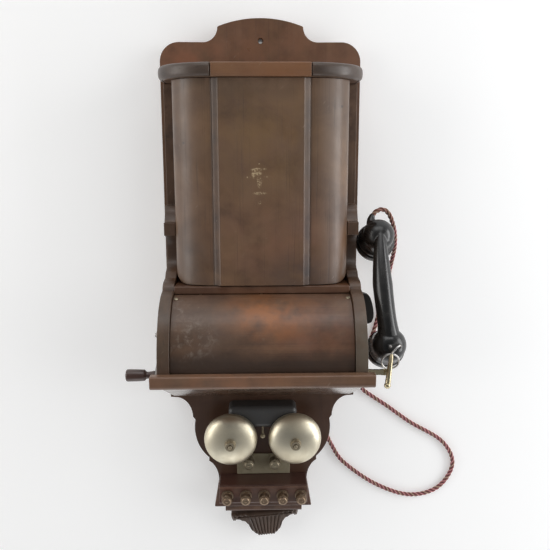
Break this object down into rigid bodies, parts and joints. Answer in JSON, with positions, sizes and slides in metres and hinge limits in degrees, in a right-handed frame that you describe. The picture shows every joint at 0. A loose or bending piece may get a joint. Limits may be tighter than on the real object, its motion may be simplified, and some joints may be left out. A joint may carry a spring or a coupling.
{
  "type": "magneto wall telephone",
  "caption": "Wooden magneto wall telephone with crank, gongs, battery cupboard, writing slope and a corded handset beside its switch hook.",
  "frame": {"origin": "on the back of the wall board, on its centreline, half way along it", "axes": "+X to the side of the switch hook, +Y from the crest to the battery cupboard (down when it hangs on a wall), +Z out of the wall board"},
  "size_m": [0.3993, 0.6453, 0.162],
  "materials": {
    "walnut": "old shellac, satin",
    "red_wood": "old shellac, satin",
    "dark_wood": "old shellac, satin",
    "nickel": "worn nickel plate, satin",
    "brass": "dull, lacquer gone",
    "steel": "dull",
    "japan": "black japan, gloss",
    "ebonite": "polished",
    "wound_wire": "varnished winding",
    "card": "waxed card",
    "plaited_cord": "plaited cotton and silk"
  },
  "bodies": {
    "case": {"wall_board": "walnut", "side_board_left": "walnut", "side_board_right": "walnut", "partition_board": "red_wood", "magneto_panel": "walnut", "base_board": "walnut", "base_moulding_left": "dark_wood", "base_moulding_middle": "red_wood", "base_moulding_right": "dark_wood", "terminal_base": "walnut", "terminal_block": "red_wood", "line_terminal_1": "brass", "line_terminal_2": "brass", "line_terminal_3": "brass", "line_terminal_4": "brass", "line_terminal_5": "brass", "crest_moulding": "dark_wood", "crest_carving": "dark_wood", "arrester_plate": "nickel", "arrester_terminal_left": "brass", "arrester_terminal_right": "brass", "gong_left": "nickel", "gong_right": "nickel", "gong_post_left": "brass", "gong_post_right": "brass", "gong_nut_left": "nickel", "gong_nut_right": "nickel", "ringer_cover": "japan", "ringer_coil_left": "wound_wire", "ringer_coil_right": "wound_wire", "ringer_yoke": "steel", "dry_cell_left": "card", "dry_cell_right": "card", "magnet_1": "steel", "magnet_2": "steel", "generator_plate_left": "brass", "generator_plate_right": "brass", "crank_bush": "brass", "hook_pin": "steel", "switch_springs": "brass", "induction_coil": "wound_wire", "handset_rest": "ebonite", "cord_gland": "ebonite", "panel_screw_left": "brass", "panel_screw_right": "brass"},
    "writing_slope": {"desk_board": "walnut", "desk_rail": "red_wood"},
    "battery_door": {"battery_cover": "walnut"},
    "crank": {"crank_shaft": "steel", "crank_arm": "steel", "main_gear": "brass"},
    "grip": {"crank_grip": "dark_wood"},
    "rotor": {"armature": "steel"},
    "hook": {"hook_lever": "brass"},
    "hammer": {"clapper": "nickel"},
    "handset": {"handset_handle": "ebonite", "transmitter_cap": "ebonite", "receiver_cap": "ebonite", "handset_hanger": "steel", "handset_cord": "plaited_cord"}
  },
  "joints": [
    {"name": "slope_hinge", "type": "hinge", "parent": "case", "child": "writing_slope", "pos_m": [0, -0.15, 0.0245], "axis": [1, 0, 0], "range_deg": [0, 35]},
    {"name": "battery_door_lift", "type": "slide", "parent": "case", "child": "battery_door", "axis": [0, 0, 1], "range_m": [0, 0.12]},
    {"name": "crank_turn", "type": "hinge", "parent": "case", "child": "crank", "pos_m": [-0.0908, -0.052, 0.086], "axis": [1, 0, 0], "continuous": true},
    {"name": "grip_turn", "type": "hinge", "parent": "crank", "child": "grip", "pos_m": [-0.13, -0.08204, 0.13503], "axis": [1, 0, 0], "continuous": true},
    {"name": "rotor_turn", "type": "hinge", "parent": "case", "child": "rotor", "pos_m": [-0.036, -0.052, 0.0481], "axis": [1, 0, 0], "continuous": true},
    {"name": "hook_swing", "type": "hinge", "parent": "case", "child": "hook", "pos_m": [0.078, -0.0825, 0.131], "axis": [0, 0, 1], "range_deg": [0, 8], "stiffness_Nm_per_rad": 1.5},
    {"name": "hammer_swing", "type": "hinge", "parent": "case", "child": "hammer", "pos_m": [0, -0.166, 0.0375], "axis": [0, 0, 1], "range_deg": [-6, 6]},
    {"name": "handset_lift", "type": "slide", "parent": "case", "child": "handset", "axis": [1, 0, 0], "range_m": [0, 0.15]}
  ],
  "couplings": [
    {"joint": "rotor_turn", "follows": "crank_turn", "ratio": -4}
  ]
}
